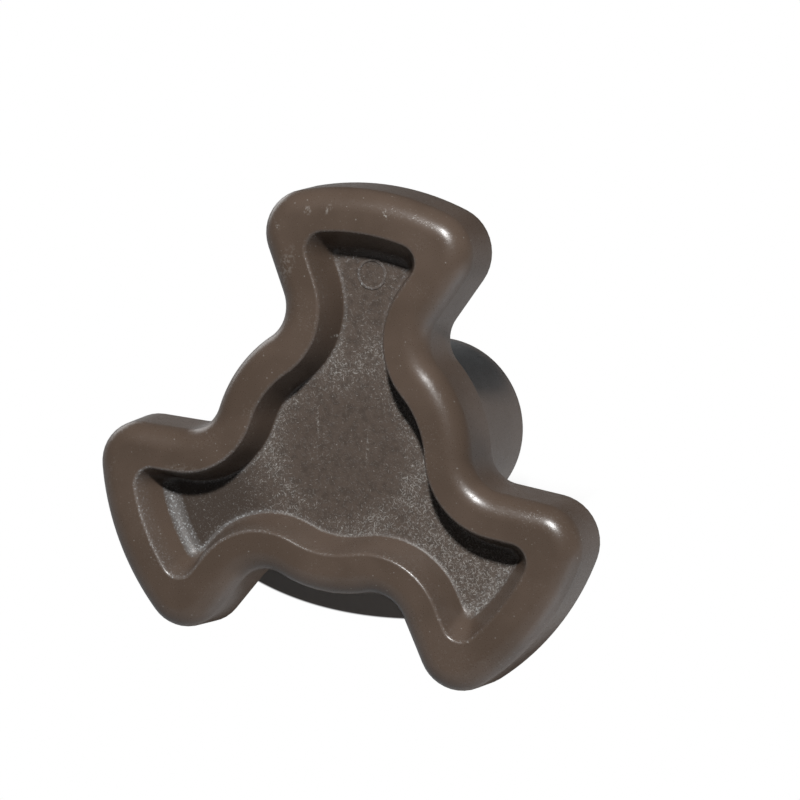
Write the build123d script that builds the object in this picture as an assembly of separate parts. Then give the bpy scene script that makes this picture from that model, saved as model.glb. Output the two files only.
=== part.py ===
from build123d import *

import math
import os

# Driving dimensions, in millimetres and degrees. The hub points down, its end face lies at z = 0,
# and the axis of the drive shaft is +Z.

# Lobed plate
lobe_count = 3
first_lobe_angle = 90.0
lobe_reach = 25.2  # axis to the lobe ends, at the plate's back edge
lobe_neck_width = 15.2  # across a lobe where it leaves the disc
lobe_flare = 28.0  # how much each side of a lobe opens outwards
corner_radius = 4.3  # outer corners of the lobes, at the back edge
disc_radius = 13.3  # bulges between the lobes
neck_radius = 3.1  # inside curves between lobe and bulge
plate_height = 6.3
plate_draft = 4.0

# Rim and pocket
rim_width = 3.85
rim_rounding = 2.2  # outer edge of the rim
mouth_chamfer = 0.4  # inner edge of the rim
pocket_depth = 3.5
pocket_side_slope = 18.0
pocket_end_slope = 28.0
pocket_corner_radius = 1.7
floor_corner_radius = 0.8
floor_chamfer = 0.4

# Hub and shaft socket
hub_diameter = 18.0
hub_length = 21.7
hub_end_chamfer = 0.5
shaft_diameter = 7.0
shaft_across_flat = 5.5
socket_clearance = 0.1
socket_depth = 16.0
socket_lead_in = 0.4

# Levels that follow from the driving dimensions
back_level = hub_length
face_level = back_level + plate_height
floor_level = face_level - pocket_depth

# Where the inside curves lie, and how far the line of a lobe's side passes from the axis
flare = math.radians(lobe_flare)
side_distance = disc_radius * math.sin(flare) - lobe_neck_width / 2 * math.cos(flare)
neck_distance = disc_radius + neck_radius
neck_angle = lobe_flare + math.degrees(math.asin((neck_radius - side_distance) / neck_distance))

# Most of a side that one corner rounding may take, and how close counts as the same level
CORNER_SHARE = 0.6
TOLERANCE = 0.001


def polar(length: float, angle: float) -> Vector:
    """Point at a distance and an angle from the axis."""
    return Vector(length, 0).rotate(Axis.Z, angle)


def side_room(inset: float, end_inset: float) -> float:
    """Length of a lobe's straight side between its inside curve and the lobe's end."""
    past_curve = math.sqrt(neck_distance**2 - (neck_radius - side_distance) ** 2)
    return math.sqrt((lobe_reach - end_inset) ** 2 - (side_distance + inset) ** 2) - past_curve


def lobed_outline(
    level: float, inset: float, end_inset: float, corner: float, straight: bool = True
) -> Sketch:
    """Outline of bulges and lobes at one level.

    The sides lie inset further in than the plate's back edge and the lobe ends end_inset further in.
    A straight side leaves its inside curve along the lobe's flare. Otherwise the curve runs on to the end.
    """
    reach = lobe_reach - end_inset
    curve = neck_radius + inset
    neck = polar(neck_distance, neck_angle)

    def on_curve(turn: float) -> Vector:
        """Point on the inside curve, a turn after it leaves the bulge."""
        return neck + polar(curve, neck_angle + 180 + turn)

    if straight:
        turn = lobe_flare + 90 - neck_angle
        tip = on_curve(turn) + polar(side_room(inset, end_inset), lobe_flare)
        half = [Line(on_curve(turn), tip)]
    else:
        cosine = (neck_distance**2 + curve**2 - reach**2) / (2 * neck_distance * curve)
        turn = math.degrees(math.acos(cosine))
        tip = on_curve(turn)
        half = []
    half.insert(0, ThreePointArc(on_curve(0), on_curve(turn / 2), on_curve(turn)))
    tip_angle = math.degrees(math.atan2(tip.Y, tip.X))
    pitch = 360 / lobe_count
    lobe = half + [mirror(edge, Plane.XZ) for edge in half]
    lobe.append(CenterArc((0, 0), reach, -tip_angle, 2 * tip_angle))
    lobe.append(CenterArc((0, 0), disc_radius - inset, neck_angle, pitch - 2 * neck_angle))
    turns = [Rot(0, 0, first_lobe_angle + pitch * index) for index in range(lobe_count)]
    outline = make_face([turn * edge for turn in turns for edge in lobe])
    tips = outline.vertices().sort_by(lambda point: Vector(point).length)[-2 * lobe_count :]
    room = min(half[-1].length, reach * math.radians(tip_angle))
    return Pos(0, 0, level) * fillet(tips, min(corner, CORNER_SHARE * room))


def edges_at(solid: Part, level: float) -> ShapeList:
    """Edges of a solid that lie flat at one level."""
    flat = solid.edges().filter_by(lambda edge: edge.bounding_box().size.Z < TOLERANCE)
    return flat.filter_by_position(Axis.Z, level - TOLERANCE, level + TOLERANCE)


def run(height: float, slope: float) -> float:
    """How far a wall of a height moves sideways at a slope from upright."""
    return height * math.tan(math.radians(slope))


# Lobed plate, drawn in from its back to its face, with a rounded rim
back = lobed_outline(back_level, 0, 0, corner_radius)
plate = extrude(-back.face(), plate_height, dir=(0, 0, 1), taper=plate_draft)
plate = fillet(edges_at(plate, face_level), rim_rounding)

# Pocket for the feet of the tray: even rim, sloping walls, a flatter ramp at each lobe end
mouth_inset = run(plate_height, plate_draft) + rim_width
side_inset = mouth_inset + run(pocket_depth, pocket_side_slope)
ramp_inset = mouth_inset + run(pocket_depth, pocket_end_slope)
straight = side_room(side_inset, ramp_inset) > floor_corner_radius
floor = lobed_outline(floor_level, side_inset, ramp_inset, floor_corner_radius, straight)
mouth = lobed_outline(face_level, mouth_inset, mouth_inset, pocket_corner_radius, straight)
pocket = loft([floor, mouth], ruled=True)
plate -= chamfer(edges_at(pocket, floor_level), floor_chamfer)
rim_face = plate.faces().filter_by(Plane.XY).sort_by(Axis.Z)[-1]
plate = chamfer(rim_face.inner_wires()[0].edges(), mouth_chamfer)

# Hub on the plate's back
hub = extrude(Circle(hub_diameter / 2), hub_length)
coupler = plate + chamfer(edges_at(hub, 0), hub_end_chamfer)

# Blind D-shaped socket for the motor's shaft, its flat towards the first lobe
socket_radius = shaft_diameter / 2 + socket_clearance
flat_distance = shaft_across_flat - shaft_diameter / 2 + socket_clearance
flat_side = Pos(0, flat_distance) * Rectangle(
    2 * socket_radius, 2 * socket_radius, align=(Align.CENTER, Align.MIN)
)
coupler -= extrude(Circle(socket_radius) - flat_side, socket_depth)
end_face = coupler.faces().filter_by(Plane.XY).sort_by(Axis.Z)[0]
coupler = chamfer(end_face.inner_wires()[0].edges(), socket_lead_in)

os.makedirs("parts", exist_ok=True)
export_step(coupler, "parts/coupler.step")
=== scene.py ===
import logging
import math
from dataclasses import dataclass, field
from enum import Enum
from typing import Any, Mapping, Optional, Sequence, Union

import bmesh
import bpy
from mathutils import Matrix, Vector


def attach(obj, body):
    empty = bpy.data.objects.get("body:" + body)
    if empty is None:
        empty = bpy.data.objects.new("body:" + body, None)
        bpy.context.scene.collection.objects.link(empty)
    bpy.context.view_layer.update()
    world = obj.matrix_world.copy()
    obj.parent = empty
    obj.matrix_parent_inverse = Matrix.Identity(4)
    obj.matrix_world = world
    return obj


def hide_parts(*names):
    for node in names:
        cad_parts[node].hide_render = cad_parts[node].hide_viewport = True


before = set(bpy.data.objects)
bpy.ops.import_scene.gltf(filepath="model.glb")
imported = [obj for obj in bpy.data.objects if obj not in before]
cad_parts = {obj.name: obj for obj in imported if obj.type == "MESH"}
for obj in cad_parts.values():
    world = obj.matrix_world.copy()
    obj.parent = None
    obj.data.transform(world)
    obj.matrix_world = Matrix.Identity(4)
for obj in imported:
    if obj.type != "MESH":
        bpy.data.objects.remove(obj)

LOG = logging.getLogger("coupler")
MM = 0.001
Range = tuple[float, float]
FlatPoint = tuple[float, float]
Point = tuple[float, float, float]
Colour = tuple[float, float, float, float]
AXIS: FlatPoint = (0.0, 0.0)
WHITE: Colour = (1, 1, 1, 1)
# Sockets of the Mix node that take its share and two colours, and the one that gives the mixed colour
MIX_SHARE, MIX_FIRST, MIX_SECOND, MIX_RESULT = 0, 6, 7, 2


def polar(length: float, angle: float) -> FlatPoint:
    """Point at a distance and an angle in degrees from the axis."""
    return length * math.cos(math.radians(angle)), length * math.sin(math.radians(angle))


def steps(start: float, end: float, count: int) -> list[float]:
    """Evenly spaced values from start to end, both included."""
    return [start + (end - start) * index / (count - 1) for index in range(count)]


def between(pair: Range, share: float) -> float:
    """Value at a share of the way from the first of a pair to the second."""
    return pair[0] + (pair[1] - pair[0]) * share


def line(start: FlatPoint, end: FlatPoint, count: int) -> list[FlatPoint]:
    """Evenly spaced points from start to end, both included."""
    return list(zip(steps(start[0], end[0], count), steps(start[1], end[1], count)))


def arc(middle: FlatPoint, radius: float, start: float, end: float, count: int) -> list[FlatPoint]:
    """Evenly spaced points on an arc between two angles in degrees, both included."""
    turns = [polar(radius, angle) for angle in steps(start, end, count)]
    return [(middle[0] + x, middle[1] + y) for x, y in turns]


def raised(ring: Sequence[FlatPoint], level: float) -> list[Point]:
    """Points of a ring, in metres, at a level over the hub's end."""
    return [(x * MM, y * MM, level * MM) for x, y in ring]


@dataclass(frozen=True)
class CouplerSizes:
    """Sizes of the coupler, in millimetres and degrees."""

    lobe_count: int = 3
    first_lobe_angle: float = 90.0
    lobe_reach: float = 25.2
    lobe_neck_width: float = 15.2
    lobe_flare: float = 28.0
    corner_radius: float = 4.3
    disc_radius: float = 13.3
    neck_radius: float = 3.1
    plate_height: float = 6.3
    plate_draft: float = 4.0
    back_edge_rounding: float = 0.15
    rim_width: float = 3.85
    rim_rounding: float = 2.2
    mouth_rounding: float = 0.4
    pocket_depth: float = 3.5
    pocket_side_slope: float = 18.0
    pocket_end_slope: float = 28.0
    pocket_corner_radius: float = 1.7
    floor_corner_radius: float = 0.8
    smallest_corner_radius: float = 0.06
    floor_rounding: float = 0.35
    ramp_foot_rounding: float = 1.3
    hub_diameter: float = 18.0
    hub_length: float = 21.7
    hub_root_rounding: float = 0.3
    hub_end_chamfer: float = 0.5
    socket_radius: float = 3.6
    socket_flat: float = 2.1
    socket_depth: float = 16.0
    socket_lead_in: float = 0.4

    @property
    def lobe_pitch(self) -> float:
        """Angle from one lobe to the next."""
        return 360 / self.lobe_count

    @property
    def floor_height(self) -> float:
        """Height of the pocket's floor over the plate's back."""
        return self.plate_height - self.pocket_depth

    @property
    def floor_level(self) -> float:
        """Level of the pocket's floor over the hub's end."""
        return self.hub_length + self.floor_height

    def lobe_angle(self, index: int) -> float:
        """Angle of the middle of a lobe, counted from 0."""
        return self.first_lobe_angle + self.lobe_pitch * index


@dataclass(frozen=True)
class LobedOutline:
    """Outline of bulges and lobes, drawn at any inset from the plate's back edge."""

    sizes: CouplerSizes
    end_steps: int = 10
    corner_steps: int = 12
    side_steps: int = 8
    neck_steps: int = 14
    bulge_steps: int = 12

    def half_lobe(self, inset: float, end_inset: float, corner: float) -> list[FlatPoint]:
        """Points from the middle of a lobe's end to the middle of the next bulge.

        Args:
            inset: how far the sides lie inside the back edge.
            end_inset: how far the lobe's end lies inside the back edge.
            corner: radius of the lobe's corner.

        Returns:
            Points for a lobe that lies along +X, above the X axis.
        """
        s = self.sizes
        flare = math.radians(s.lobe_flare)
        side_distance = s.disc_radius * math.sin(flare) - s.lobe_neck_width / 2 * math.cos(flare)
        neck_distance = s.disc_radius + s.neck_radius
        neck_angle = s.lobe_flare + math.degrees(math.asin((s.neck_radius - side_distance) / neck_distance))
        neck_middle = polar(neck_distance, neck_angle)
        reach = s.lobe_reach - end_inset
        offset = side_distance + inset + corner
        along = polar(math.sqrt((reach - corner) ** 2 - offset**2), s.lobe_flare)
        across = polar(offset, s.lobe_flare + 90)
        corner_middle = (along[0] - across[0], along[1] - across[1])
        corner_angle = math.degrees(math.atan2(corner_middle[1], corner_middle[0]))
        neck = arc(neck_middle, s.neck_radius + inset, s.lobe_flare + 270, neck_angle + 180, self.neck_steps)
        points = arc(AXIS, reach, 0, corner_angle, self.end_steps)
        points += arc(corner_middle, corner, corner_angle, s.lobe_flare + 90, self.corner_steps)[1:]
        points += line(points[-1], neck[0], self.side_steps)[1:]
        points += neck[1:]
        points += arc(AXIS, s.disc_radius - inset, neck_angle, s.lobe_pitch / 2, self.bulge_steps)[1:]
        return points

    def end_shares(self) -> list[float]:
        """How far each point of a ring belongs to a lobe's end.

        Returns:
            One value from 0 to 1 for each point.
        """
        plain = sum(count - 1 for count in (self.side_steps, self.neck_steps, self.bulge_steps))
        half = [1.0] * self.end_steps + steps(1, 0, self.corner_steps)[1:] + [0.0] * plain
        return (list(reversed(half[1:])) + half[:-1]) * self.sizes.lobe_count

    def ring(self, inset: float, end_inset: float, corner: float) -> list[FlatPoint]:
        """Closed outline, anticlockwise from the middle of a bulge.

        Args:
            inset: how far the sides lie inside the back edge.
            end_inset: how far the lobe ends lie inside the back edge.
            corner: radius of the lobes' corners.

        Returns:
            The points of all the lobes.
        """
        half = self.half_lobe(inset, end_inset, corner)
        lobe = [(x, -y) for x, y in reversed(half[1:])] + half[:-1]
        outline = []
        for index in range(self.sizes.lobe_count):
            cosine, sine = polar(1, self.sizes.lobe_angle(index))
            outline += [(x * cosine - y * sine, x * sine + y * cosine) for x, y in lobe]
        return outline


@dataclass(frozen=True)
class Ring:
    """One closed row of points, how grainy it is, and its wear and painted highlight at sides and lobe ends.
    """

    points: list[Point]
    grain: Range = (0.0, 0.0)
    # How pale the ring is from rubbed wear and painted highlight, at the sides and at the lobe ends
    rubbed_and_highlit: Range = (0.0, 0.0)


@dataclass
class RingSkin:
    """Skin drawn as one closed row of points and extruded through the rows that follow it."""

    name: str
    rings: Sequence[Ring]
    end_shares: Sequence[float]
    smooth_angle: float = 32.0
    piece: Optional[bpy.types.Object] = field(init=False, default=None)

    def build(self) -> bpy.types.Object:
        """Draw the first ring, extrude it through all the others and close both ends.

        Returns:
            The finished mesh, at the origin.
        """
        bpy.ops.object.select_all(action="DESELECT")
        bpy.ops.mesh.primitive_circle_add(vertices=len(self.end_shares), radius=MM, fill_type="NOTHING")
        self.piece = bpy.context.object
        self.piece.name = self.name
        bpy.ops.object.mode_set(mode="EDIT")
        mesh = bmesh.from_edit_mesh(self.piece.data)
        mesh.verts.layers.int.new("order")
        mesh.verts.layers.float.new("grain")
        # Attribute for worn edges: partly rubbed wear, partly painted highlight
        mesh.verts.layers.float.new("rubbed_and_highlit")
        order = mesh.verts.layers.int["order"]
        for index, vertex in enumerate(mesh.verts):
            vertex[order] = index
        bpy.ops.mesh.select_all(action="SELECT")
        self.lay(self.rings[0])
        bpy.ops.mesh.edge_face_add()
        bpy.ops.mesh.select_mode(type="EDGE")
        bpy.ops.mesh.select_all(action="SELECT")
        for ring in self.rings[1:]:
            bpy.ops.mesh.extrude_edges_move()
            self.lay(ring)
        bpy.ops.mesh.edge_face_add()
        bpy.ops.mesh.select_all(action="SELECT")
        bpy.ops.mesh.normals_make_consistent(inside=False)
        bpy.ops.object.mode_set(mode="OBJECT")
        self.piece.data.attributes.remove(self.piece.data.attributes["order"])
        bpy.ops.object.shade_smooth_by_angle(angle=math.radians(self.smooth_angle))
        modifier = self.piece.modifiers.new("even_normals", "WEIGHTED_NORMAL")
        modifier.keep_sharp = True
        bpy.ops.object.modifier_apply(modifier=modifier.name)
        return self.piece

    def lay(self, ring: Ring) -> None:
        """Lay the selected points on a ring and note their grain, and their wear and painted highlight.

        Args:
            ring: where the points go.
        """
        mesh = bmesh.from_edit_mesh(self.piece.data)
        order = mesh.verts.layers.int["order"]
        grain = mesh.verts.layers.float["grain"]
        rubbed_and_highlit = mesh.verts.layers.float["rubbed_and_highlit"]
        for vertex in mesh.verts:
            if vertex.select:
                index = vertex[order]
                vertex.co = ring.points[index]
                vertex[grain] = between(ring.grain, self.end_shares[index])
                vertex[rubbed_and_highlit] = between(ring.rubbed_and_highlit, self.end_shares[index])
        bmesh.update_edit_mesh(self.piece.data)


@dataclass(frozen=True)
class PocketWearAndHighlight:
    """Where the rings at the pocket's edges lie, and how pale those edges are from rubbed wear and painted
    highlight.

    Rows on the floor are measured in millimetres from the wall's foot, and rows on a rounding in shares
    of its radius. The wear and painted highlight of a ramp fade out over its last rows. A pair of values
    is for the sides and for the lobe ends.
    """

    floor_rows: tuple[float, ...] = (0.9, 0.45)
    edge_row: float = 0.12
    # Edge paleness here is partly rubbed wear and partly painted highlight
    edge_rubbed_and_highlit: Range = (0.25, 0.7)
    side_foot_rows: tuple[float, ...] = (0.0, 0.03, 0.1, 0.2, 0.35)
    end_foot_rubbed_and_highlit: float = 0.9
    ramp_rows: tuple[float, ...] = (0.14, 0.22, 0.32, 0.43, 0.53, 0.62)
    ramp_fade: float = 4.0
    mouth_start_angle: float = 12.0
    mouth_rubbed_and_highlit: float = 0.6


@dataclass
class CouplerBody:
    """The one moulded piece: lobed plate with its pocket, hub and shaft socket."""

    sizes: CouplerSizes
    edge_wear_and_highlight: PocketWearAndHighlight = PocketWearAndHighlight()
    name: str = "coupler_body"
    rounding_steps: int = 7
    wall_row: float = 0.25
    back_edge_angles: tuple[float, ...] = (30, 60, 90)
    outline: LobedOutline = field(init=False)
    piece: Optional[bpy.types.Object] = field(init=False, default=None)

    def __post_init__(self) -> None:
        """Make the outline from the sizes."""
        self.outline = LobedOutline(self.sizes)

    def rim_inset(self, height: float) -> float:
        """Inset of the outer wall and the rim's outer rounding.

        Args:
            height: height over the plate's back.

        Returns:
            How far the wall lies inside the plate's back edge.
        """
        s = self.sizes
        slope = math.radians(s.plate_draft)
        middle = s.plate_height - s.rim_rounding
        if height <= middle + s.rim_rounding * math.sin(slope):
            return height * math.tan(slope)
        centre = middle * math.tan(slope) + s.rim_rounding / math.cos(slope)
        return centre - math.sqrt(max(s.rim_rounding**2 - (height - middle) ** 2, 0))

    def pocket_wall(self, height: float, slope: float) -> float:
        """Inset of the pocket's plain wall.

        Args:
            height: height over the plate's back.
            slope: the wall's lean in degrees.

        Returns:
            How far the wall lies inside the plate's back edge.
        """
        s = self.sizes
        mouth = s.plate_height * math.tan(math.radians(s.plate_draft)) + s.rim_width
        return mouth + (s.plate_height - height) * math.tan(math.radians(slope))

    def pocket_inset(self, height: float, slope: float, foot: float) -> float:
        """Inset of the pocket's wall with its mouth rounding and the rounding at its foot.

        Args:
            height: height over the plate's back.
            slope: the wall's lean in degrees.
            foot: radius between the wall and the floor.

        Returns:
            How far the wall lies inside the plate's back edge.
        """
        s = self.sizes
        tilt = math.radians(slope)
        mouth_middle = s.plate_height - s.mouth_rounding
        foot_middle = s.floor_height + foot
        if height > mouth_middle + s.mouth_rounding * math.sin(tilt):
            centre = self.pocket_wall(mouth_middle, slope) - s.mouth_rounding / math.cos(tilt)
            return centre + math.sqrt(max(s.mouth_rounding**2 - (height - mouth_middle) ** 2, 0))
        if height < foot_middle - foot * math.sin(tilt):
            centre = self.pocket_wall(foot_middle, slope) + foot / math.cos(tilt)
            return centre - math.sqrt(max(foot**2 - (height - foot_middle) ** 2, 0))
        return self.pocket_wall(height, slope)

    def pocket_ring(self, height: float, further: float = 0.0) -> list[Point]:
        """Ring on the pocket's wall, or further in on its floor.

        Args:
            height: height over the plate's back.
            further: how far the ring lies inside the wall.

        Returns:
            The ring's points.
        """
        s = self.sizes
        side = self.pocket_inset(height, s.pocket_side_slope, s.floor_rounding)
        end = self.pocket_inset(height, s.pocket_end_slope, s.ramp_foot_rounding)
        share = (height - s.floor_height) / s.pocket_depth
        corner = between((s.floor_corner_radius, s.pocket_corner_radius), share)
        corner -= side - self.pocket_wall(height, s.pocket_side_slope) + further
        ring = self.outline.ring(side + further, end + further, max(corner, s.smallest_corner_radius))
        return raised(ring, s.hub_length + height)

    def outer_ring(self, inset: float, level: float) -> list[Point]:
        """Ring on the plate's outside, an inset inside its back edge, at a level over the hub's end."""
        return raised(self.outline.ring(inset, inset, self.sizes.corner_radius - inset), level)

    def rim_ring(self, height: float) -> list[Point]:
        """Ring on the plate's drafted wall or its rim, at a height over its back."""
        return self.outer_ring(self.rim_inset(height), self.sizes.hub_length + height)

    def point_angles(self) -> list[float]:
        """Angles of the back edge's points, at which the round rings have theirs."""
        back = self.outline.ring(0, 0, self.sizes.corner_radius)
        return [math.degrees(math.atan2(y, x)) for x, y in back]

    def round_ring(self, radius: float, level: float) -> list[Point]:
        """Circle about the axis, at a level over the hub's end."""
        return raised([polar(radius, angle) for angle in self.point_angles()], level)

    def socket_ring(self, growth: float, level: float) -> list[Point]:
        """D-shaped ring of the shaft socket.

        Args:
            growth: how far the ring lies outside the socket's wall.
            level: level over the hub's end.

        Returns:
            The ring's points, two of them at the ends of the flat.
        """
        radius = self.sizes.socket_radius + growth
        flat = self.sizes.socket_flat + growth
        flat_end = math.degrees(math.asin(flat / radius))
        angles = self.point_angles()
        for target in (flat_end, 180 - flat_end):
            nearest = min(range(len(angles)), key=lambda index: abs(angles[index] - target))
            angles[nearest] = target
        ring = []
        for angle in angles:
            rise = math.sin(math.radians(angle))
            length = min(radius, flat / rise) if rise > 0 else radius
            ring.append(polar(length, angle))
        return raised(ring, level)

    def pocket_rings(self) -> list[Ring]:
        """Rings from the pocket's floor up its wall and over its rounded mouth.

        Returns:
            The rings in order, grainy on the floor, and rubbed and pale with painted highlight along the
            edges.
        """
        s, edge_wear_and_highlight = self.sizes, self.edge_wear_and_highlight
        floor = s.floor_height
        rings = [Ring(self.pocket_ring(floor, row), grain=(1, 1)) for row in edge_wear_and_highlight.floor_rows]
        rings.append(Ring(self.pocket_ring(floor, edge_wear_and_highlight.edge_row), grain=(1, 1), rubbed_and_highlit=edge_wear_and_highlight.edge_rubbed_and_highlit))
        for row in edge_wear_and_highlight.side_foot_rows:
            points = self.pocket_ring(floor + s.floor_rounding * row)
            rings.append(Ring(points, grain=(1 - row, 1), rubbed_and_highlit=(1 - row, edge_wear_and_highlight.end_foot_rubbed_and_highlit)))
        # The ramp feet's rubbed wear and painted highlight fade out up the ramps
        for row in edge_wear_and_highlight.ramp_rows:
            points = self.pocket_ring(floor + s.ramp_foot_rounding * row)
            worn_and_highlit = min(1.0, (edge_wear_and_highlight.ramp_rows[-1] - row) * edge_wear_and_highlight.ramp_fade)
            rings.append(Ring(points, grain=(0, worn_and_highlit), rubbed_and_highlit=(0, worn_and_highlit)))
        rings.append(Ring(self.pocket_ring(floor + s.pocket_depth / 2)))
        lip = s.plate_height - s.mouth_rounding
        # On the mouth's rounding, rubbed wear and painted highlight are strongest midway round it
        for angle in steps(edge_wear_and_highlight.mouth_start_angle, 90, self.rounding_steps):
            points = self.pocket_ring(lip + s.mouth_rounding * math.sin(math.radians(angle)))
            worn_and_highlit = edge_wear_and_highlight.mouth_rubbed_and_highlit * math.sin(math.radians(2 * angle))
            rings.append(Ring(points, rubbed_and_highlit=(worn_and_highlit, worn_and_highlit)))
        return rings

    def plate_rings(self) -> list[Ring]:
        """Rings from the rim's flat over its outer rounding and down to the plate's back edge.

        Returns:
            The rings in order.
        """
        s = self.sizes
        rings = []
        for angle in steps(90, s.plate_draft, 2 * self.rounding_steps):
            height = s.plate_height - s.rim_rounding * (1 - math.sin(math.radians(angle)))
            rings.append(Ring(self.rim_ring(height)))
        edge = s.back_edge_rounding
        rings += [Ring(self.rim_ring(height)) for height in (s.plate_height * self.wall_row, edge)]
        for angle in self.back_edge_angles:
            rise, fall = math.sin(math.radians(angle)), math.cos(math.radians(angle))
            rings.append(Ring(self.outer_ring(edge * (1 - fall), s.hub_length + edge * (1 - rise))))
        return rings

    def hub_rings(self) -> list[Ring]:
        """Rings down the hub, round its end and up the shaft socket.

        Returns:
            The rings in order.
        """
        s = self.sizes
        radius = s.hub_diameter / 2
        root = s.hub_root_rounding
        rings = []
        for angle in steps(0, 90, self.rounding_steps):
            rise, fall = math.sin(math.radians(angle)), math.cos(math.radians(angle))
            rings.append(Ring(self.round_ring(radius + root * (1 - rise), s.hub_length - root * (1 - fall))))
        rings.append(Ring(self.round_ring(radius, s.hub_end_chamfer)))
        rings.append(Ring(self.round_ring(radius - s.hub_end_chamfer, 0)))
        rings.append(Ring(self.socket_ring(s.socket_lead_in, 0)))
        rings.append(Ring(self.socket_ring(0, s.socket_lead_in)))
        rings.append(Ring(self.socket_ring(0, s.socket_depth)))
        return rings

    def build(self) -> bpy.types.Object:
        """Make the body's skin.

        Returns:
            The finished mesh, at the origin.
        """
        rings = self.pocket_rings() + self.plate_rings() + self.hub_rings()
        self.piece = RingSkin(self.name, rings, self.outline.end_shares()).build()
        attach(self.piece, "root")
        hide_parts("coupler")
        return self.piece

    def dress(self, material: bpy.types.Material) -> None:
        """Give the body its finish."""
        self.piece.data.materials.clear()
        self.piece.data.materials.append(material)


@dataclass
class EjectorMark:
    """Witness mark of an ejector pin: a thin raised ring on the pocket's floor, in the first lobe."""

    sizes: CouplerSizes
    name: str = "ejector_mark"
    middle: FlatPoint = (0.1, 17.0)
    radius: float = 1.45
    width: float = 0.26
    stand: float = 0.09
    sunk: float = 0.1
    bevel: float = 0.05
    segments: int = 64
    # Paleness of the ring: rubbed wear with painted highlight
    rubbed_and_highlit: float = 1.6
    piece: Optional[bpy.types.Object] = field(init=False, default=None)

    def ring(self, radius: float, rise: float) -> Ring:
        """Circle about the mark's middle.

        Args:
            radius: the circle's radius.
            rise: its height over the pocket's floor.

        Returns:
            The circle, grainy all round, and rubbed and pale with painted highlight like the pocket's edges.
        """
        circle = arc(self.middle, radius, 0, 360, self.segments + 1)[:-1]
        points = raised(circle, self.sizes.floor_level + rise)
        return Ring(points, grain=(1, 1), rubbed_and_highlit=(self.rubbed_and_highlit, self.rubbed_and_highlit))

    def build(self) -> bpy.types.Object:
        """Make the raised ring.

        Returns:
            The finished mesh, at the origin.
        """
        outer = self.radius
        inner = self.radius - self.width
        rings = [
            self.ring(inner, -self.sunk),
            self.ring(inner, self.stand - self.bevel),
            self.ring(inner + self.bevel, self.stand),
            self.ring(outer - self.bevel, self.stand),
            self.ring(outer, self.stand - self.bevel),
            self.ring(outer, -self.sunk),
        ]
        self.piece = RingSkin(self.name, rings, [0.0] * self.segments).build()
        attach(self.piece, "root")
        return self.piece

    def dress(self, material: bpy.types.Material) -> None:
        """Give the mark the body's finish."""
        self.piece.data.materials.clear()
        self.piece.data.materials.append(material)


class ShaderTree:
    """Node tree of one material or world, in which any node is made by one method."""

    def __init__(self, tree: bpy.types.NodeTree) -> None:
        """Start from an empty tree."""
        self.tree = tree
        self.tree.nodes.clear()

    def node(
        self,
        kind: str,
        settings: Optional[Mapping[str, Any]] = None,
        inputs: Optional[Mapping[Union[str, int], Any]] = None,
    ) -> bpy.types.Node:
        """Make a node.

        Args:
            kind: the node's type.
            settings: its properties.
            inputs: constants, shades or shader outputs for its sockets.

        Returns:
            The new node.
        """
        made = self.tree.nodes.new(kind)
        for name, value in (settings or {}).items():
            setattr(made, name, value)
        for key, value in (inputs or {}).items():
            if isinstance(value, Shade):
                self.tree.links.new(value.socket, made.inputs[key])
            elif isinstance(value, bpy.types.NodeSocket):
                self.tree.links.new(value, made.inputs[key])
            else:
                made.inputs[key].default_value = value
        return made

    def shade(self, kind: str, output: Union[str, int] = 0, **rest: Any) -> "Shade":
        """Make a node and return one of its outputs."""
        return Shade(self, self.node(kind, **rest).outputs[output])

    def position(self) -> "Shade":
        """Object coordinates in millimetres."""
        inputs = {"Vector": self.shade("ShaderNodeTexCoord", "Object"), "Scale": 1 / MM}
        return self.shade("ShaderNodeVectorMath", settings={"operation": "SCALE"}, inputs=inputs)

    def attribute(self, name: str) -> "Shade":
        """Value that the mesh holds under a name."""
        return self.shade("ShaderNodeAttribute", "Fac", settings={"attribute_name": name})

    def ray(self, kind: str) -> "Shade":
        """Whether the light's path is of a kind, as 0 or 1."""
        return self.shade("ShaderNodeLightPath", kind)


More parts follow.
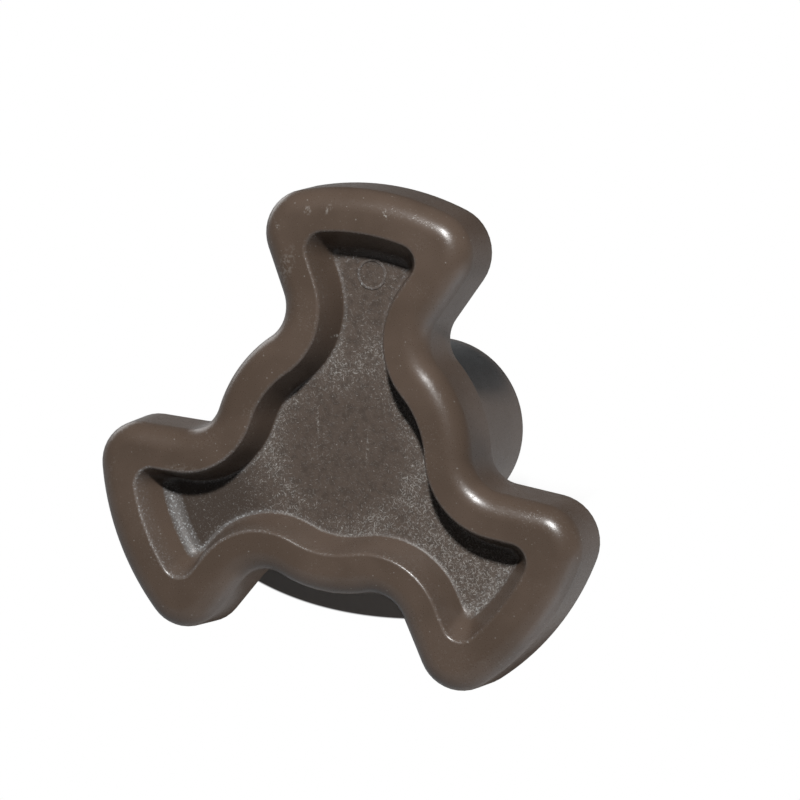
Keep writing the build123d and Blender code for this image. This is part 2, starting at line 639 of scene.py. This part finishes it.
class Shade:
    """A shader socket whose maths is written as Python expressions."""

    def __init__(self, tree: ShaderTree, socket: bpy.types.NodeSocket) -> None:
        """Wrap one output socket."""
        self.tree = tree
        self.socket = socket

    def maths(self, operation: str, *values: Any) -> "Shade":
        """Result of one maths node."""
        parts = {"settings": {"operation": operation}, "inputs": dict(enumerate(values))}
        return self.tree.shade("ShaderNodeMath", **parts)

    def vector_maths(self, operation: str, *values: Any) -> "Shade":
        """Number that one vector maths node works out."""
        parts = {"settings": {"operation": operation}, "inputs": dict(enumerate(values))}
        return self.tree.shade("ShaderNodeVectorMath", "Value", **parts)

    def __add__(self, other: Any) -> "Shade":
        """Sum."""
        return self.maths("ADD", self, other)

    def __radd__(self, other: Any) -> "Shade":
        """Sum with a number in front."""
        return self.maths("ADD", other, self)

    def __sub__(self, other: Any) -> "Shade":
        """Difference."""
        return self.maths("SUBTRACT", self, other)

    def __rsub__(self, other: Any) -> "Shade":
        """Difference from a number."""
        return self.maths("SUBTRACT", other, self)

    def __mul__(self, other: Any) -> "Shade":
        """Product."""
        return self.maths("MULTIPLY", self, other)

    def __rmul__(self, other: Any) -> "Shade":
        """Product with a number in front."""
        return self.maths("MULTIPLY", other, self)

    def __pow__(self, other: Any) -> "Shade":
        """Power."""
        return self.maths("POWER", self, other)

    def __abs__(self) -> "Shade":
        """Value without its sign."""
        return self.maths("ABSOLUTE", self)

    def most(self, other: Any) -> "Shade":
        """The larger of two values."""
        return self.maths("MAXIMUM", self, other)

    def least(self, other: Any) -> "Shade":
        """The smaller of two values."""
        return self.maths("MINIMUM", self, other)

    def ramp(self, low: float, high: float) -> "Shade":
        """Smooth step from 0 at a low value to 1 at a high one.

        Args:
            low: where the step starts.
            high: where it ends.

        Returns:
            The step's value.
        """
        settings = {"interpolation_type": "SMOOTHSTEP"}
        inputs = {"Value": self, "From Min": low, "From Max": high}
        return self.tree.shade("ShaderNodeMapRange", settings=settings, inputs=inputs)

    def mix(self, first: Any, second: Any) -> "Shade":
        """Colour between two others, by this share."""
        inputs = {MIX_SHARE: self, MIX_FIRST: first, MIX_SECOND: second}
        return self.tree.shade("ShaderNodeMix", MIX_RESULT, settings={"data_type": "RGBA"}, inputs=inputs)

    def axes(self) -> tuple["Shade", "Shade", "Shade"]:
        """The three coordinates of a place."""
        split = self.tree.node("ShaderNodeSeparateXYZ", inputs={0: self})
        return tuple(Shade(self.tree, socket) for socket in split.outputs)

    def length(self) -> "Shade":
        """Distance of a place from where its frame starts."""
        return self.vector_maths("LENGTH", self)

    def along(self, direction: Sequence[float]) -> "Shade":
        """How far a place lies along a direction."""
        return self.vector_maths("DOT_PRODUCT", self, direction)

    def framed(self, angle: float, size: Point, middle: Point = (0, 0, 0)) -> "Shade":
        """Place as seen from a middle, turned by an angle and measured in sizes.

        Args:
            angle: turn of the new frame about the drive axis, in degrees.
            size: what counts as 1 along each axis of the new frame.
            middle: where the new frame starts.

        Returns:
            The place in the new frame.
        """
        turn = (0, 0, math.radians(angle))
        inputs = {"Vector": self, "Location": middle, "Rotation": turn, "Scale": size}
        return self.tree.shade("ShaderNodeMapping", settings={"vector_type": "TEXTURE"}, inputs=inputs)


@dataclass(frozen=True)
class Cloud:
    """A noise pattern: its scale per millimetre, and the values between which it fades in."""

    scale: float
    detail: float = 2.0
    rough: float = 0.5
    fade: Range = (0.0, 1.0)
    middle: float = 0.5

    def value(self, place: Shade) -> Shade:
        """The plain noise at a place."""
        inputs = {"Vector": place, "Scale": self.scale, "Detail": self.detail, "Roughness": self.rough}
        return place.tree.shade("ShaderNodeTexNoise", "Fac", inputs=inputs)

    def share(self, place: Shade) -> Shade:
        """The noise at a place, faded in from 0 to 1."""
        return self.value(place).ramp(*self.fade)


@dataclass(frozen=True)
class Specks:
    """Scattered round specks: their number per millimetre, edge in shares of a cell, and paleness."""

    scale: float
    edge: Range
    pale: float

    def build(self, place: Shade) -> Shade:
        """How pale the specks make a place.

        Args:
            place: the place in millimetres.

        Returns:
            The paleness, 0 between the specks.
        """
        inputs = {"Vector": place, "Scale": self.scale}
        away = place.tree.shade("ShaderNodeTexVoronoi", "Distance", inputs=inputs)
        return (1 - away.ramp(*self.edge)) * self.pale


@dataclass(frozen=True)
class Scuff:
    """A pale rub mark on the face of the part, in millimetres and degrees."""

    x: float
    y: float
    length: float
    width: float
    angle: float
    strength: float = 1.0
    edge: Range = (0.3, 1.1)
    any_depth: float = 1000.0

    def build(self, place: Shade) -> Shade:
        """Strength of the mark at a place.

        Args:
            place: the place in millimetres.

        Returns:
            The strength, 0 away from the mark.
        """
        size = (self.length, self.width, self.any_depth)
        away = place.framed(self.angle, size, (self.x, self.y, 0)).length()
        return (1 - away.ramp(*self.edge)) * self.strength


@dataclass(frozen=True)
class Strokes:
    """Short scratches in several directions, which crowd where the floor is abraded."""

    angles: tuple[float, ...] = (12, 50, 97, 141)
    size: Point = (0.52, 0.12, 0.5)
    pattern: Cloud = Cloud(1.0, detail=1, fade=(0.72, 0.84))
    grit_less: float = 0.04
    abraded_more: float = 0.13

    def build(self, place: Shade, grit: Shade, abraded: Shade) -> Shade:
        """How far a place lies in a scratch.

        Args:
            place: the place in millimetres.
            grit: noise that makes the smallest scratches.
            abraded: how abraded the place is.

        Returns:
            A share from 0 to 1.
        """
        strokes = grit - self.grit_less
        for angle in self.angles:
            strokes = strokes.most(self.pattern.value(place.framed(angle, self.size)))
        return (strokes + abraded * self.abraded_more).ramp(*self.pattern.fade)


@dataclass(frozen=True)
class FloorAbrasion:
    """How thickly the pocket's floor is scratched: in a ring, most in the third lobe, least in the second.

    The ring starts at a distance from the axis that wavers. The lobes' ranges are distances out along them.
    """

    patches: Cloud = Cloud(0.28, detail=4, rough=0.6, fade=(0.38, 0.62))
    waver: Cloud = Cloud(0.22)
    waver_width: float = 5.0
    ring: Range = (4.8, 7.4)
    first_lobe: Range = (9.0, 14.0)
    third_lobe: Range = (4.0, 12.0)
    middle_share: float = 0.1
    ring_share: float = 0.3
    patch_share: float = 0.6
    first_less: float = 0.8
    second_less: float = 0.75
    third_share: float = 0.9

    def build(self, place: Shade, lobes: Sequence[Shade], second: Shade) -> Shade:
        """How abraded a place on the floor is.

        Args:
            place: the place in millimetres.
            lobes: how far the place lies out along each lobe.
            second: how far the place belongs to the second lobe, from 0 to 1.

        Returns:
            A share from 0 to 1.
        """
        x, y, _ = place.axes()
        radius = (x * x + y * y) ** 0.5
        waver = (self.waver.value(place) - self.waver.middle) * self.waver_width
        ring = (radius + waver).ramp(*self.ring)
        spread = self.middle_share + ring * (self.ring_share + self.patches.share(place) * self.patch_share)
        spread = spread * (1 - second * self.second_less)
        spread = spread * (1 - lobes[0].ramp(*self.first_lobe) * self.first_less)
        return spread.most(lobes[2].ramp(*self.third_lobe) * self.third_share)


@dataclass(frozen=True)
class Relief:
    """Fine bumps: their depth in millimetres, and how much of it each pattern and kind of surface takes."""

    depth: float = 0.06
    strength: float = 0.6
    wavy: Cloud = Cloud(0.5)
    wavy_share: float = 0.7
    fleck_share: float = 0.6
    fine_share: float = 0.4
    grain_share: float = 0.9
    rubbed_share: float = 0.45
    smooth_share: float = 0.2

    def build(self, place: Shade, flecks: Shade, fine: Shade, grain: Shade, rubbed_and_highlit: Shade) -> Shade:
        """Make the bumps.

        Args:
            place: the place in millimetres.
            flecks: the coarser grit.
            fine: the finest noise.
            grain: how grainy the surface is.
            rubbed_and_highlit: how rubbed the surface is, the value that also gives the painted highlight.

        Returns:
            The bumped normal.
        """
        rough = grain * self.grain_share + rubbed_and_highlit * self.rubbed_share + self.smooth_share
        height = (flecks * self.fleck_share + fine * self.fine_share) * rough
        height = height + self.wavy.value(place) * self.wavy_share
        inputs = {"Height": height, "Strength": self.strength, "Distance": self.depth * MM}
        return place.tree.shade("ShaderNodeBump", "Normal", inputs=inputs)


@dataclass(frozen=True)
class PlasticFinish:
    """Satin dark plastic with a grainy, abraded pocket floor and pale wear specks.

    The values named pale say how far each kind of wear turns the plastic to the dust's colour, or to the
    silver of rubbed wear and painted highlight.
    """

    sizes: CouplerSizes
    colour: Colour = (0.094, 0.067, 0.051, 1)
    deep_colour: Colour = (0.078, 0.055, 0.041, 1)
    floor_colour: Colour = (0.079, 0.059, 0.047, 1)
    mottle_colour: Colour = (0.058, 0.043, 0.034, 1)
    second_colour: Colour = (0.05, 0.037, 0.029, 1)
    dust_colour: Colour = (0.5, 0.49, 0.46, 1)
    # Silver of rubbed wear and painted highlight on the pocket's edges
    rubbed_and_highlight_colour: Colour = (0.5, 0.52, 0.53, 1)
    refraction: float = 1.5
    roughness: float = 0.3
    fine_roughness: float = 0.18
    grain_roughness: float = 0.12
    abraded_roughness: float = 0.08
    second_lobe: Range = (8.0, 12.5)
    tone: Cloud = Cloud(0.16, detail=3, fade=(0.35, 0.65))
    mottle: Cloud = Cloud(1.3, detail=4, rough=0.65, fade=(0.42, 0.66))
    grit: Cloud = Cloud(4.6, detail=4, rough=0.72, fade=(0.53, 0.72))
    fine: Cloud = Cloud(9.0, detail=3)
    haze: Cloud = Cloud(0.3, fade=(0.5, 0.68))
    broken: Cloud = Cloud(3.4, detail=3, rough=0.65, fade=(0.48, 0.6))
    abrasion: FloorAbrasion = FloorAbrasion()
    strokes: Strokes = Strokes()
    relief: Relief = Relief()
    stroke_pale: float = 0.38
    abraded_pale: float = 0.02
    abraded_fleck_pale: float = 0.28
    haze_pale: float = 0.1
    scuff_pale: float = 0.42
    rubbed_and_highlight_pale: float = 0.03
    rubbed_and_highlight_fleck_pale: float = 0.42
    # Extra paleness on the second lobe's worn edges: painted highlight on its ramp foot
    second_lobe_highlight_pale: float = 0.1
    second_lobe_highlight_fleck_pale: float = 0.75
    most_pale: float = 0.9
    specks: tuple[Specks, ...] = (Specks(1.1, (0.05, 0.09), 0.27), Specks(2.3, (0.07, 0.13), 0.1))
    scuff_depth: Range = (-0.2, -0.05)
    scuffs: tuple[Scuff, ...] = (
        Scuff(2.0, 23.0, 0.55, 0.3, 120),
        Scuff(-5.6, 22.2, 0.5, 0.5, 20, 0.6),
        Scuff(-3.6, 22.6, 0.6, 0.35, 70, 0.6),
        Scuff(-8.4, 20.3, 0.5, 0.25, 140, 0.8),
        Scuff(-2.5, 10.8, 0.3, 0.16, 35, 1.6),
        Scuff(1.9, 1.0, 2.0, 0.2, 95, 0.7),
        Scuff(-3.4, 2.6, 1.6, 0.16, 100, 0.8),
        Scuff(-7.2, 16.5, 2.8, 1.0, 75, 0.3),
        Scuff(-15.0, -4.2, 2.6, 1.0, 5, 0.2),
    )

    def along_lobes(self, place: Shade) -> list[Shade]:
        """How far a place lies out along each lobe."""
        angles = [self.sizes.lobe_angle(index) for index in range(self.sizes.lobe_count)]
        return [place.along((*polar(1, angle), 0)) for angle in angles]

    def clean_colour(self, place: Shade, grain: Shade, second: Shade) -> Shade:
        """Colour of the plastic without its wear.

        Args:
            place: the place in millimetres.
            grain: how grainy the surface is, as on the pocket's floor.
            second: how far the place belongs to the second lobe, whose floor is darker.

        Returns:
            The colour.
        """
        smooth = self.tone.share(place).mix(self.deep_colour, self.colour)
        floor = self.mottle.share(place).mix(self.floor_colour, self.mottle_colour)
        return grain.mix(smooth, second.mix(floor, self.second_colour))

    def scuffed(self, place: Shade) -> Shade:
        """Strength of all scuffs on the part's face, broken up by a noise.

        Args:
            place: the place in millimetres.

        Returns:
            The strength, 0 away from the scuffs and behind the pocket's floor.
        """
        total = sum(scuff.build(place) for scuff in self.scuffs)
        _, _, level = place.axes()
        face = (level - self.sizes.floor_level).ramp(*self.scuff_depth)
        return total * self.broken.share(place) * face

    def build(self) -> bpy.types.Material:
        """Make the material.

        Returns:
            The finish, for meshes that hold how grainy and how rubbed they are.
        """
        material = bpy.data.materials.new("dark_brown_plastic_worn")
        material.use_nodes = True
        tree = ShaderTree(material.node_tree)
        place = tree.position()
        grain = tree.attribute("grain")
        rubbed_and_highlit = tree.attribute("rubbed_and_highlit")
        lobes = self.along_lobes(place)
        second = lobes[1].ramp(*self.second_lobe)
        abraded = self.abrasion.build(place, lobes, second) * grain
        grit = self.grit.value(place)
        flecks = grit.ramp(*self.grit.fade)
        fine = self.fine.value(place)
        strokes = self.strokes.build(place, grit, abraded) * grain
        pale = strokes * self.stroke_pale + abraded * (flecks * self.abraded_fleck_pale + self.abraded_pale)
        pale = pale + sum(specks.build(place) for specks in self.specks)
        pale = pale + self.haze.share(place) * flecks * self.haze_pale
        pale = pale + self.scuffed(place) * self.scuff_pale
        # Painted highlight mixed with rubbed wear: pale silver on edges and foot lines, most on the second
        # lobe's ramp
        rubbed_and_highlight = flecks * (second * self.second_lobe_highlight_fleck_pale + self.rubbed_and_highlight_fleck_pale)
        rubbed_and_highlight = rubbed_and_highlit * (rubbed_and_highlight + second * self.second_lobe_highlight_pale + self.rubbed_and_highlight_pale)
        colour = self.clean_colour(place, grain, second)
        colour = pale.least(self.most_pale).mix(colour, self.dust_colour)
        colour = rubbed_and_highlight.least(self.most_pale).mix(colour, self.rubbed_and_highlight_colour)
        roughness = self.roughness + (fine - self.fine.middle) * self.fine_roughness
        roughness = roughness + grain * self.grain_roughness + abraded * self.abraded_roughness
        normal = self.relief.build(place, flecks, fine, grain, rubbed_and_highlit)
        inputs = {"Base Color": colour, "Roughness": roughness, "Normal": normal, "IOR": self.refraction}
        shader = tree.node("ShaderNodeBsdfPrincipled", inputs=inputs)
        tree.node("ShaderNodeOutputMaterial", inputs={"Surface": shader.outputs[0]})
        return material


@dataclass
class PhotoCamera:
    """Camera at the photograph's angle, fitted to the coupler's edges, in millimetres and radians."""

    sizes: CouplerSizes
    turn: Point = (0.10877, -0.37959, -0.14042)
    shift: Point = (-3.85388, -4.7329, -245.24427)
    lens: float = 117.0
    sensor: float = 36.0
    nearest: float = 10.0

    def rotation(self) -> Matrix:
        """Turn from the coupler's axes to the camera's."""
        turns = [Matrix.Rotation(angle, 3, axis) for angle, axis in zip(self.turn, "XYZ")]
        return turns[0] @ turns[1] @ turns[2]

    def world(self, right: float, up: float, near: float) -> Vector:
        """Place in metres, from millimetres along the camera's axes, counted from the plate's back."""
        plate = Vector((0, 0, self.sizes.hub_length))
        return (self.rotation().transposed() @ Vector((right, up, near)) + plate) * MM

    def build(self) -> bpy.types.Object:
        """Add the camera and make it the scene's.

        Returns:
            The camera.
        """
        data = bpy.data.cameras.new("photo_camera")
        data.lens = self.lens
        data.sensor_width = self.sensor
        data.clip_start = self.nearest * MM
        camera = bpy.data.objects.new("photo_camera", data)
        bpy.context.scene.collection.objects.link(camera)
        place = self.world(*(-value for value in self.shift))
        camera.matrix_world = Matrix.Translation(place) @ self.rotation().transposed().to_4x4()
        bpy.context.scene.camera = camera
        return camera


class LampRole(Enum):
    """What a lamp does: it lights the face, the plate's back, or the lower walls and the hub."""

    KEY = "key"
    BACK = "back"
    UNDER = "under"


@dataclass(frozen=True)
class SoftLamp:
    """Square lamp aimed at the plate, placed in millimetres along the camera's axes. Power is in watts."""

    role: LampRole
    place: Point
    size: float
    power: float
    colour: tuple[float, float, float] = (1, 1, 1)

    def build(self, camera: PhotoCamera) -> bpy.types.Object:
        """Add the lamp.

        Args:
            camera: the camera along whose axes the lamp is placed.

        Returns:
            The lamp.
        """
        data = bpy.data.lights.new(self.role.value, "AREA")
        data.size = self.size * MM
        data.energy = self.power
        data.color = self.colour
        lamp = bpy.data.objects.new(self.role.value, data)
        bpy.context.scene.collection.objects.link(lamp)
        place = camera.world(*self.place)
        aim = camera.world(0, 0, 0) - place
        lamp.matrix_world = Matrix.Translation(place) @ aim.to_track_quat("-Z", "Y").to_matrix().to_4x4()
        return lamp


LAMPS = (
    SoftLamp(LampRole.KEY, place=(-35, 246, 411), size=34, power=3.1),
    SoftLamp(LampRole.BACK, place=(-150, 110, -185), size=160, power=0.18),
    SoftLamp(LampRole.UNDER, place=(178, -190, 9), size=160, power=0.55, colour=(0.92, 0.96, 1.0)),
)


@dataclass
class Table:
    """White table that the coupler lies on, on two lobes and the edge of its hub, in millimetres.

    The camera sees plain white, apart from a zone under the coupler that shows the real shadow. The zone's
    ranges are where it fades: back from the line on which the lobes lie, and to both sides of its middle.
    Its front edge is curved.
    """

    sizes: CouplerSizes
    size: float = 900.0
    grid: int = 4
    gap: float = 0.02
    white: Colour = (0.6, 0.6, 0.6, 1)
    bounce: Colour = (0.08, 0.08, 0.08, 1)
    mirrored: Colour = (0.34, 0.35, 0.36, 1)
    shadow_back: Range = (18.0, 34.0)
    shadow_front: Range = (5.7, 6.0)
    shadow_side: Range = (11.5, 18.0)
    shadow_middle: float = -2.5
    shadow_curve: float = 0.02

    def contacts(self) -> tuple[Vector, Vector]:
        """Where the table meets the hub's end and the back edges of the lower lobes.

        Returns:
            Both places in the plane through the drive axis, in millimetres.
        """
        s = self.sizes
        ring = LobedOutline(s).ring(0, 0, s.corner_radius)
        low = Vector((0, -s.hub_diameter / 2, s.hub_end_chamfer))
        return low, Vector((0, min(y for _, y in ring), s.hub_length))

    def build(self) -> bpy.types.Object:
        """Add the table as a stage piece.

        Returns:
            The table.
        """
        low, high = self.contacts()
        normal = (high - low).cross(Vector((1, 0, 0))).normalized()
        bpy.ops.object.select_all(action="DESELECT")
        bpy.ops.mesh.primitive_grid_add(
            x_subdivisions=self.grid, y_subdivisions=self.grid, size=self.size * MM
        )
        table = bpy.context.object
        table.name = "table"
        turn = normal.to_track_quat("Z", "Y").to_matrix().to_4x4()
        place = (low + high) / 2 - normal * self.gap
        table.data.transform(Matrix.Translation(place * MM) @ turn)
        table.data.materials.append(self.finish())
        return table

    def outside(self, place: Shade) -> Shade:
        """How far a place lies outside the zone that shows the shadow.

        Args:
            place: the place in millimetres.

        Returns:
            A share from 0 to 1.
        """
        low, high = self.contacts()
        backwards = (low - high).normalized()
        depth = place.along(backwards) - high.dot(backwards)
        aside = place.along((1, 0, 0)) - self.shadow_middle
        front = depth - aside * aside * self.shadow_curve
        ends = depth.ramp(*self.shadow_back).most(1 - front.ramp(*self.shadow_front))
        return ends.most(abs(aside).ramp(*self.shadow_side))

    def finish(self) -> bpy.types.Material:
        """White that keeps the shadow under the coupler, and clear to lamps and to a camera below.

        Returns:
            The table's material.
        """
        material = bpy.data.materials.new("white_table")
        material.use_nodes = True
        tree = ShaderTree(material.node_tree)
        seen = tree.ray("Is Camera Ray")
        unseen_colour = tree.ray("Is Glossy Ray").mix(self.bounce, self.mirrored)
        lit = tree.node("ShaderNodeBsdfDiffuse", inputs={"Color": seen.mix(unseen_colour, self.white)})
        plain = tree.node("ShaderNodeEmission", inputs={"Color": WHITE})
        clear = tree.node("ShaderNodeBsdfTransparent")
        through = tree.shade("ShaderNodeNewGeometry", "Backfacing").most(tree.ray("Is Shadow Ray"))
        surface = lit.outputs[0]
        for share, shader in ((self.outside(tree.position()) * seen, plain), (through, clear)):
            inputs = {0: share, 1: surface, 2: shader.outputs[0]}
            surface = tree.node("ShaderNodeMixShader", inputs=inputs).outputs[0]
        tree.node("ShaderNodeOutputMaterial", inputs={"Surface": surface})
        return material


@dataclass(frozen=True)
class Surroundings:
    """White to the camera, and much weaker as light and as a reflection on the object."""

    strength: float = 0.01
    mirrored: float = 0.04

    def build(self) -> None:
        """Set up the world and how colours are shown."""
        scene = bpy.context.scene
        scene.view_settings.view_transform = "Standard"
        world = bpy.data.worlds.new("surroundings")
        world.use_nodes = True
        scene.world = world
        tree = ShaderTree(world.node_tree)
        seen = tree.ray("Is Camera Ray") * (1 - self.strength)
        mirrored = tree.ray("Is Glossy Ray") * (self.mirrored - self.strength)
        inputs = {"Color": WHITE, "Strength": seen + mirrored + self.strength}
        sky = tree.node("ShaderNodeBackground", inputs=inputs)
        tree.node("ShaderNodeOutputWorld", inputs={"Surface": sky.outputs[0]})


def main() -> None:
    """Build the coupler and its picture in order."""
    logging.basicConfig(level=logging.INFO)
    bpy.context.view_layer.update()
    sizes = CouplerSizes()
    plastic = PlasticFinish(sizes).build()
    for sub_assembly in (CouplerBody(sizes), EjectorMark(sizes)):
        piece = sub_assembly.build()
        sub_assembly.dress(plastic)
        LOG.info("%s: %d faces", piece.name, len(piece.data.polygons))
    camera = PhotoCamera(sizes)
    camera.build()
    for lamp in LAMPS:
        lamp.build(camera)
        LOG.info("lamp %s: %.2f W", lamp.role.value, lamp.power)
    table = Table(sizes).build()
    LOG.info("%s: %d faces", table.name, len(table.data.polygons))
    Surroundings().build()


if __name__ == "__main__":
    main()
